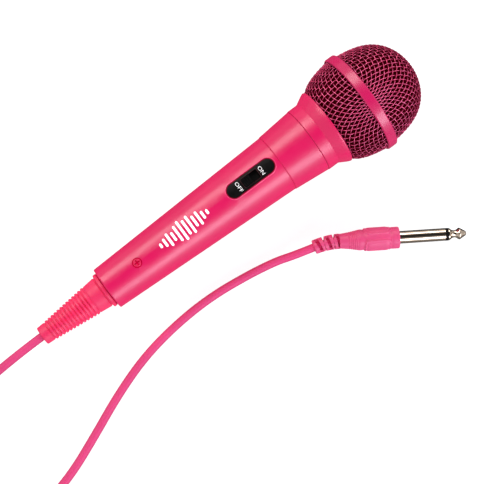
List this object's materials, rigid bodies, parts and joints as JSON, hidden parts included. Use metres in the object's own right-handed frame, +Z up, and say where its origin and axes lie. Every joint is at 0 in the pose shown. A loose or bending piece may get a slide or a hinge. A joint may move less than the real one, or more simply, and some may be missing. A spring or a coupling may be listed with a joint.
{
  "type": "microphone",
  "caption": "Wired hand microphone with a tapered handle, slide switch, round woven wire head with a band, ribbed strain relief, and a cord ending in a quarter-inch jack plug.",
  "frame": {"origin": "on the surface that the microphone lies on, under the middle of its box, measured without the free cord and plug", "axes": "+X along the microphone towards the ball head, +Z up; the handle's switch faces up and the microphone's own axis rises 5.86 degrees towards the head"},
  "size_m": [0.3662, 0.1095, 0.0538],
  "materials": {
    "handle": "pearlescent pink paint, satin",
    "collar": "pink paint, satin",
    "grille_wire": "pink painted woven steel wire",
    "band": "pink paint, satin",
    "foam": "dark open-cell foam",
    "switch_black": "black moulded, semi-gloss",
    "inner_plastic": "black moulded",
    "inner_board": "phenolic board",
    "inner_steel": "plated steel",
    "contact_brass": "bright",
    "inner_rubber": "soft black",
    "capsule_aluminium": "satin",
    "magnet": "dark sintered",
    "coil_wire": "enamelled copper wire",
    "film": "thin clear film",
    "wire_insulation": "insulated wire",
    "screw": "painted over, pink",
    "boot": "pink soft PVC, matte",
    "cord": "pink PVC, satin",
    "tie": "black hook and loop strap",
    "plug_moulding": "pink moulded PVC, satin",
    "plug_metal": "bright nickel plate",
    "plug_black": "black"
  },
  "bodies": {
    "microphone": {"handle_tube": "handle", "switch_plate": "switch_black", "switch_can": "inner_steel", "switch_base": "inner_board", "switch_terminals": "contact_brass", "head_sleeve": "handle", "grille_collar": "collar", "grille_bowl": "grille_wire", "grille_band": "band", "grille_dome": "grille_wire", "foam_bowl": "foam", "foam_dome": "foam", "capsule_ring": "inner_rubber", "capsule_body": "inner_plastic", "capsule_cover": "capsule_aluminium", "capsule_yoke": "inner_steel", "capsule_magnet": "magnet", "capsule_pole": "inner_steel", "voice_coil": "coil_wire", "diaphragm": "film", "capsule_terminals": "contact_brass", "capsule_leads": "wire_insulation", "cord_cores": "wire_insulation", "tail_block": "inner_plastic", "tail_screw": "screw", "strain_relief_boot": "boot", "cord_inner_end": "cord", "cord_mic_run": "cord", "cord_coil": "cord", "coil_tie": "tie", "cord_plug_run": "cord", "plug_relief": "plug_moulding", "plug_body": "plug_moulding", "plug_sleeve": "plug_metal", "plug_insulator": "plug_black", "plug_tip": "plug_metal", "plug_tip_rod": "contact_brass"},
    "switch": {"switch_knob": "switch_black", "switch_slider": "switch_black", "switch_carrier": "inner_plastic", "switch_contact_bridge": "contact_brass"}
  },
  "joints": [
    {"name": "switch_slide", "type": "slide", "parent": "microphone", "child": "switch", "axis": [0.9901, 0, 0.1407], "range_m": [0, 0.0044]}
  ]
}
